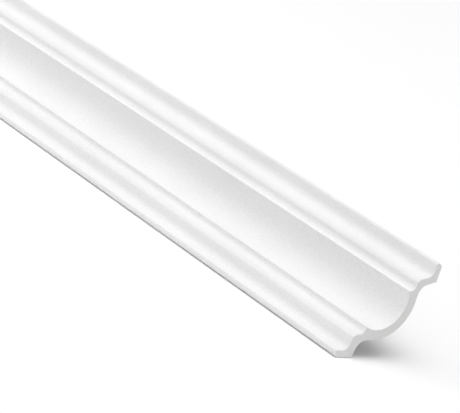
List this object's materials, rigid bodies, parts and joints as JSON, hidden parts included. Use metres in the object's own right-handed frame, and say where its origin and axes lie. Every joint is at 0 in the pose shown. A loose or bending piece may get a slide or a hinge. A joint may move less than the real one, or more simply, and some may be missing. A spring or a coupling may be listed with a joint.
{
  "type": "crown moulding length",
  "caption": "Straight length of white crown moulding with a large central cove, ogee edges, square-cut ends and flat contact faces behind.",
  "frame": {"origin": "middle of the wall's contact face, half way along the length", "axes": "+X along the length, +Y out of the wall's contact face and into the wall, -Z out of the ceiling's contact face. It stands the way up that the picture shows it, with its front to -Y and up. For a ceiling it is turned half a turn about Y: the wall's face stays at +Y and the ceiling's face comes to +Z."},
  "size_m": [1, 0.1, 0.1],
  "materials": {
    "primed_foam": "smooth satin-matt white primer on rigid moulded foam, with sawn ends"
  },
  "bodies": {
    "root": {"crown_moulding": "primed_foam"}
  },
  "joints": []
}
